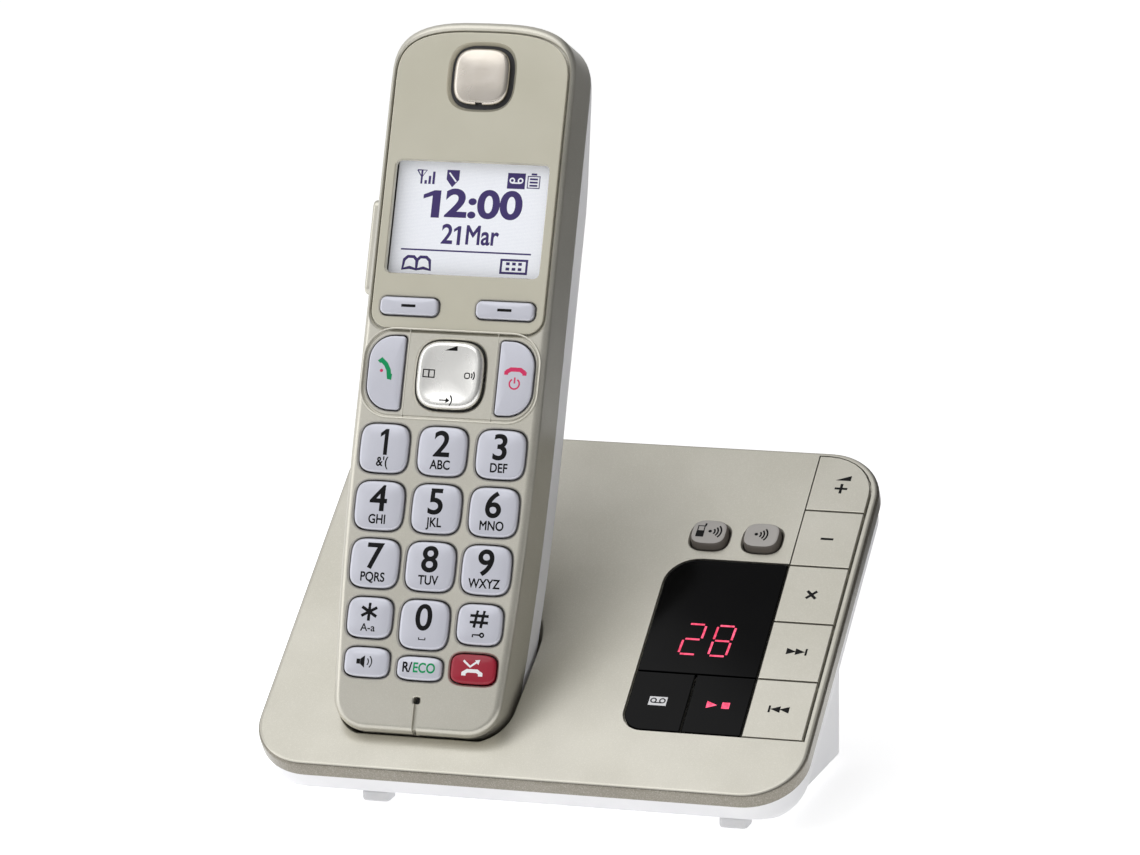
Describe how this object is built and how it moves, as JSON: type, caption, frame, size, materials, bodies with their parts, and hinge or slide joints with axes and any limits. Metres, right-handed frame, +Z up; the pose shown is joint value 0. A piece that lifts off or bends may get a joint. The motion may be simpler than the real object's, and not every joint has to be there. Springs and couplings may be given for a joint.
{
  "type": "cordless telephone with answering base",
  "caption": "Slim cordless handset with keypad and display, standing in a sloping base with answering machine buttons and a message counter.",
  "frame": {"origin": "bottom centre of the bounding box, on the table under the middle of the phone", "axes": "+Z up, -Y to the front where the keys face, +X to the right as the user sees it"},
  "size_m": [0.137, 0.0958, 0.1802],
  "materials": {
    "champagne_metallic": "metallic lacquer on moulded ABS, satin",
    "display_panel": "clear moulded panel, painted behind, glossy",
    "white_housing": "moulded ABS, fine satin",
    "keycap": "hard keycaps, satin lacquer with printed legends",
    "crimson_keycap": "hard keycap, satin lacquer with a white symbol",
    "satin_chrome": "satin chrome plating on plastic",
    "black_gloss": "high gloss acrylic",
    "rubber_key": "moulded rubber with printed symbols",
    "silicone": "moulded silicone",
    "circuit_board": "glass-epoxy board with green solder mask",
    "display": "backlit liquid crystal display",
    "gold_contact": "gold-plated contact spring",
    "dark_plastic": "moulded black plastic",
    "cell": "printed sleeve on a rechargeable cell",
    "foot": "soft white rubber"
  },
  "bodies": {
    "base": {"display_window": "black_gloss", "base_circuit_board": "circuit_board", "message_counter": "black_gloss", "base_top_cover": "champagne_metallic", "base_bottom_housing": "white_housing", "base_speaker": "dark_plastic", "line_jack": "dark_plastic", "power_jack": "dark_plastic", "foot_front_left": "foot", "foot_front_right": "foot", "foot_rear_left": "foot", "foot_rear_right": "foot"},
    "handset": {"handset_front_housing": "champagne_metallic", "display_panel": "display_panel", "earpiece_cover": "satin_chrome", "handset_rear_housing": "white_housing", "keypad_mat": "silicone", "handset_circuit_board": "circuit_board", "lcd_module": "display", "earpiece_speaker": "dark_plastic", "microphone_capsule": "dark_plastic", "ringer_speaker": "dark_plastic", "battery_cell_left": "cell", "battery_cell_right": "cell", "handset_contact_left": "gold_contact", "handset_contact_right": "gold_contact"},
    "battery_cover": {"battery_cover": "white_housing"},
    "navigator_pad": {"navigator_pad": "silicone"},
    "navigator_key": {"navigator_key": "satin_chrome"},
    "side_volume_key": {"side_volume_key": "champagne_metallic"},
    "key_1": {"key_1": "keycap"},
    "key_2": {"key_2": "keycap"},
    "key_3": {"key_3": "keycap"},
    "key_4": {"key_4": "keycap"},
    "key_5": {"key_5": "keycap"},
    "key_6": {"key_6": "keycap"},
    "key_7": {"key_7": "keycap"},
    "key_8": {"key_8": "keycap"},
    "key_9": {"key_9": "keycap"},
    "key_star": {"key_star": "keycap"},
    "key_0": {"key_0": "keycap"},
    "key_hash": {"key_hash": "keycap"},
    "key_speakerphone": {"key_speakerphone": "keycap"},
    "key_recall": {"key_recall": "keycap"},
    "key_block": {"key_block": "crimson_keycap"},
    "key_talk": {"key_talk": "keycap"},
    "key_off": {"key_off": "keycap"},
    "soft_key_left": {"soft_key_left": "keycap"},
    "soft_key_right": {"soft_key_right": "keycap"},
    "button_skip_back": {"button_skip_back": "champagne_metallic"},
    "button_skip_forward": {"button_skip_forward": "champagne_metallic"},
    "button_erase": {"button_erase": "champagne_metallic"},
    "button_volume_down": {"button_volume_down": "champagne_metallic"},
    "button_volume_up": {"button_volume_up": "champagne_metallic"},
    "button_answer": {"button_answer": "black_gloss"},
    "button_play_stop": {"button_play_stop": "black_gloss"},
    "button_locator": {"button_locator": "rubber_key"},
    "button_intercom": {"button_intercom": "rubber_key"},
    "charge_contact_left": {"charge_contact_left": "gold_contact"},
    "charge_contact_right": {"charge_contact_right": "gold_contact"}
  },
  "joints": [
    {"name": "handset_lift", "type": "slide", "parent": "base", "child": "handset", "axis": [0, 0.3681, 0.9298], "range_m": [0, 0.12]},
    {"name": "battery_cover_slide", "type": "slide", "parent": "handset", "child": "battery_cover", "axis": [0, -0.3681, -0.9298], "range_m": [0, 0.003]},
    {"name": "navigator_up_down", "type": "hinge", "parent": "handset", "child": "navigator_pad", "pos_m": [-0.0275, -0.00711, 0.09786], "axis": [1, 0, 0], "range_deg": [-2, 2], "stiffness_Nm_per_rad": 0.25},
    {"name": "navigator_left_right", "type": "hinge", "parent": "navigator_pad", "child": "navigator_key", "pos_m": [-0.0275, -0.00711, 0.09786], "axis": [0, 0.3681, 0.9298], "range_deg": [-2, 2], "stiffness_Nm_per_rad": 0.25},
    {"name": "side_volume_key_rock", "type": "hinge", "parent": "handset", "child": "side_volume_key", "pos_m": [-0.0486, 0.00702, 0.12647], "axis": [0, -0.9298, 0.3681], "range_deg": [-2, 2], "stiffness_Nm_per_rad": 0.3},
    {"name": "key_1_press", "type": "slide", "parent": "handset", "child": "key_1", "axis": [0, 0.9298, -0.3681], "range_m": [0, 0.0006], "stiffness_N_per_m": 1500},
    {"name": "key_2_press", "type": "slide", "parent": "handset", "child": "key_2", "axis": [0, 0.9298, -0.3681], "range_m": [0, 0.0006], "stiffness_N_per_m": 1500},
    {"name": "key_3_press", "type": "slide", "parent": "handset", "child": "key_3", "axis": [0, 0.9298, -0.3681], "range_m": [0, 0.0006], "stiffness_N_per_m": 1500},
    {"name": "key_4_press", "type": "slide", "parent": "handset", "child": "key_4", "axis": [0, 0.9298, -0.3681], "range_m": [0, 0.0006], "stiffness_N_per_m": 1500},
    {"name": "key_5_press", "type": "slide", "parent": "handset", "child": "key_5", "axis": [0, 0.9298, -0.3681], "range_m": [0, 0.0006], "stiffness_N_per_m": 1500},
    {"name": "key_6_press", "type": "slide", "parent": "handset", "child": "key_6", "axis": [0, 0.9298, -0.3681], "range_m": [0, 0.0006], "stiffness_N_per_m": 1500},
    {"name": "key_7_press", "type": "slide", "parent": "handset", "child": "key_7", "axis": [0, 0.9298, -0.3681], "range_m": [0, 0.0006], "stiffness_N_per_m": 1500},
    {"name": "key_8_press", "type": "slide", "parent": "handset", "child": "key_8", "axis": [0, 0.9298, -0.3681], "range_m": [0, 0.0006], "stiffness_N_per_m": 1500},
    {"name": "key_9_press", "type": "slide", "parent": "handset", "child": "key_9", "axis": [0, 0.9298, -0.3681], "range_m": [0, 0.0006], "stiffness_N_per_m": 1500},
    {"name": "key_star_press", "type": "slide", "parent": "handset", "child": "key_star", "axis": [0, 0.9298, -0.3681], "range_m": [0, 0.0006], "stiffness_N_per_m": 1500},
    {"name": "key_0_press", "type": "slide", "parent": "handset", "child": "key_0", "axis": [0, 0.9298, -0.3681], "range_m": [0, 0.0006], "stiffness_N_per_m": 1500},
    {"name": "key_hash_press", "type": "slide", "parent": "handset", "child": "key_hash", "axis": [0, 0.9298, -0.3681], "range_m": [0, 0.0006], "stiffness_N_per_m": 1500},
    {"name": "key_speakerphone_press", "type": "slide", "parent": "handset", "child": "key_speakerphone", "axis": [0, 0.9298, -0.3681], "range_m": [0, 0.0006], "stiffness_N_per_m": 1500},
    {"name": "key_recall_press", "type": "slide", "parent": "handset", "child": "key_recall", "axis": [0, 0.9298, -0.3681], "range_m": [0, 0.0006], "stiffness_N_per_m": 1500},
    {"name": "key_block_press", "type": "slide", "parent": "handset", "child": "key_block", "axis": [0, 0.9298, -0.3681], "range_m": [0, 0.0006], "stiffness_N_per_m": 1500},
    {"name": "key_talk_press", "type": "slide", "parent": "handset", "child": "key_talk", "axis": [0, 0.9298, -0.3681], "range_m": [0, 0.0006], "stiffness_N_per_m": 1500},
    {"name": "key_off_press", "type": "slide", "parent": "handset", "child": "key_off", "axis": [0, 0.9298, -0.3681], "range_m": [0, 0.0006], "stiffness_N_per_m": 1500},
    {"name": "soft_key_left_press", "type": "slide", "parent": "handset", "child": "soft_key_left", "axis": [0, 0.9298, -0.3681], "range_m": [0, 0.0006], "stiffness_N_per_m": 1500},
    {"name": "soft_key_right_press", "type": "slide", "parent": "handset", "child": "soft_key_right", "axis": [0, 0.9298, -0.3681], "range_m": [0, 0.0006], "stiffness_N_per_m": 1500},
    {"name": "button_skip_back_press", "type": "slide", "parent": "base", "child": "button_skip_back", "axis": [0, 0.5693, -0.8221], "range_m": [0, 0.0005], "stiffness_N_per_m": 1800},
    {"name": "button_skip_forward_press", "type": "slide", "parent": "base", "child": "button_skip_forward", "axis": [0, 0.5693, -0.8221], "range_m": [0, 0.0005], "stiffness_N_per_m": 1800},
    {"name": "button_erase_press", "type": "slide", "parent": "base", "child": "button_erase", "axis": [0, 0.5693, -0.8221], "range_m": [0, 0.0005], "stiffness_N_per_m": 1800},
    {"name": "button_volume_down_press", "type": "slide", "parent": "base", "child": "button_volume_down", "axis": [0, 0.5693, -0.8221], "range_m": [0, 0.0005], "stiffness_N_per_m": 1800},
    {"name": "button_volume_up_press", "type": "slide", "parent": "base", "child": "button_volume_up", "axis": [0, 0.5693, -0.8221], "range_m": [0, 0.0005], "stiffness_N_per_m": 1800},
    {"name": "button_answer_press", "type": "slide", "parent": "base", "child": "button_answer", "axis": [0, 0.5693, -0.8221], "range_m": [0, 0.0005], "stiffness_N_per_m": 1800},
    {"name": "button_play_stop_press", "type": "slide", "parent": "base", "child": "button_play_stop", "axis": [0, 0.5693, -0.8221], "range_m": [0, 0.0005], "stiffness_N_per_m": 1800},
    {"name": "button_locator_press", "type": "slide", "parent": "base", "child": "button_locator", "axis": [0, 0.5693, -0.8221], "range_m": [0, 0.0008], "stiffness_N_per_m": 1800},
    {"name": "button_intercom_press", "type": "slide", "parent": "base", "child": "button_intercom", "axis": [0, 0.5693, -0.8221], "range_m": [0, 0.0008], "stiffness_N_per_m": 1800},
    {"name": "charge_contact_left_press", "type": "slide", "parent": "base", "child": "charge_contact_left", "axis": [0, -0.3681, -0.9298], "range_m": [0, 0.001], "stiffness_N_per_m": 400},
    {"name": "charge_contact_right_press", "type": "slide", "parent": "base", "child": "charge_contact_right", "axis": [0, -0.3681, -0.9298], "range_m": [0, 0.001], "stiffness_N_per_m": 400}
  ]
}
